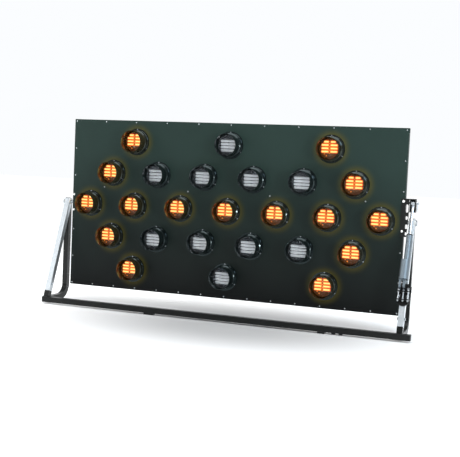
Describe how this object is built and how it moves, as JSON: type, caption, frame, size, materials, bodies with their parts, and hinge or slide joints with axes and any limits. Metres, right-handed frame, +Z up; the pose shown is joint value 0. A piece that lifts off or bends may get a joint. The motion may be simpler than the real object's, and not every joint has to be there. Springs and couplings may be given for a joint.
{
  "type": "arrow board",
  "caption": "Lamp arrow board, 96 by 48 inches, tipping between two tube side frames on one base rail, raised and lowered by a linear actuator.",
  "frame": {"origin": "half-way between the two mounting bolt holes, on the undersides of the feet", "axes": "+X to the panel's right hand as seen from the front, -Y the way the lamps face, +Z up"},
  "size_m": [2.64, 0.4115, 1.3395],
  "materials": {
    "black_coated_steel": "semi-gloss black powder coat",
    "galvanised_leg": "satin bright galvanised tube",
    "green_black_paint": "aluminium under semi-gloss dark green-black enamel",
    "zinc_plate": "bright zinc plate",
    "white_coated_bolt": "white coated bolt heads",
    "rivet_aluminium": "domed blind rivets",
    "bush_nylon": "natural nylon",
    "hood_plastic": "glossy black moulded hood",
    "cup_plastic": "satin black moulded cup",
    "black_rubber": "matt black rubber",
    "amber_board": "amber light bars on a board",
    "clear_board": "silvered light bars on a board",
    "amber_lens": "clear amber polycarbonate",
    "clear_lens": "clear polycarbonate",
    "duct_plastic": "dark grey extruded duct",
    "box_paint": "dark grey powder coat",
    "actuator_aluminium": "satin anodised aluminium",
    "chromed_rod": "polished hard chrome",
    "roller_steel": "turned steel"
  },
  "bodies": {
    "frame": {"base_rail": "black_coated_steel", "rail_end_caps": "cup_plastic", "mounting_feet": "black_coated_steel", "rail_bolts": "black_coated_steel", "left_front_leg": "galvanised_leg", "right_front_leg": "galvanised_leg", "left_rear_leg": "black_coated_steel", "right_rear_leg": "black_coated_steel", "left_foot_socket": "black_coated_steel", "right_foot_socket": "black_coated_steel", "leg_top_caps": "cup_plastic", "leg_bolts": "zinc_plate", "pivot_bushes": "bush_nylon", "leg_clamp_bracket": "black_coated_steel", "leg_clamp_strap": "black_coated_steel", "leg_clamp_bolts": "zinc_plate", "clamp_studs": "zinc_plate", "base_pin": "zinc_plate"},
    "panel": {"face_sheet": "green_black_paint", "top_channel": "green_black_paint", "bottom_channel": "green_black_paint", "left_channel": "green_black_paint", "right_channel": "green_black_paint", "cross_brace": "green_black_paint", "uprights": "green_black_paint", "edge_rivets": "rivet_aluminium", "pivot_shafts": "zinc_plate", "pivot_nuts": "zinc_plate", "pivot_bolts": "white_coated_bolt", "lever_bracket": "black_coated_steel", "lever_bolts": "white_coated_bolt", "hoods_row_1": "hood_plastic", "hoods_row_2": "hood_plastic", "hoods_row_3": "hood_plastic", "hoods_row_4": "hood_plastic", "hoods_row_5": "hood_plastic", "hood_screws": "zinc_plate", "lamp_gaskets": "black_rubber", "lamp_cups": "cup_plastic", "lamp_plugs": "cup_plastic", "amber_led_boards": "amber_board", "clear_led_boards": "clear_board", "amber_lenses": "amber_lens", "clear_lenses": "clear_lens", "cable_ducts": "duct_plastic", "box_straps": "green_black_paint", "control_box": "box_paint", "control_lid": "box_paint", "lid_screws": "zinc_plate", "cable_gland": "cup_plastic"},
    "actuator_body": {"actuator_tube": "actuator_aluminium", "motor_can": "actuator_aluminium", "gear_cap": "actuator_aluminium", "rear_fork": "zinc_plate", "rod_wiper": "black_rubber"},
    "actuator_rod_body": {"actuator_rod": "chromed_rod", "rod_end": "zinc_plate", "rod_pin": "zinc_plate", "pin_rollers": "roller_steel", "hairpin_clip": "zinc_plate"}
  },
  "joints": [
    {"name": "board_tilt", "type": "hinge", "parent": "frame", "child": "panel", "pos_m": [-0.1625, 0.272, 0.73], "axis": [1, 0, 0], "range_deg": [0, 90]},
    {"name": "actuator_swing", "type": "hinge", "parent": "frame", "child": "actuator_body", "pos_m": [1.1055, 0.06569, 0.34507], "axis": [1, 0, 0], "range_deg": [0, 9.93]},
    {"name": "rod_extend", "type": "slide", "parent": "actuator_body", "child": "actuator_rod_body", "axis": [0, 0.3669, 0.9303], "range_m": [-0.1626, 0]}
  ],
  "couplings": [
    {"joint": "actuator_swing", "follows": "board_tilt", "ratio": 0.11009},
    {"joint": "rod_extend", "follows": "board_tilt", "m_per_rad": -0.10344}
  ]
}
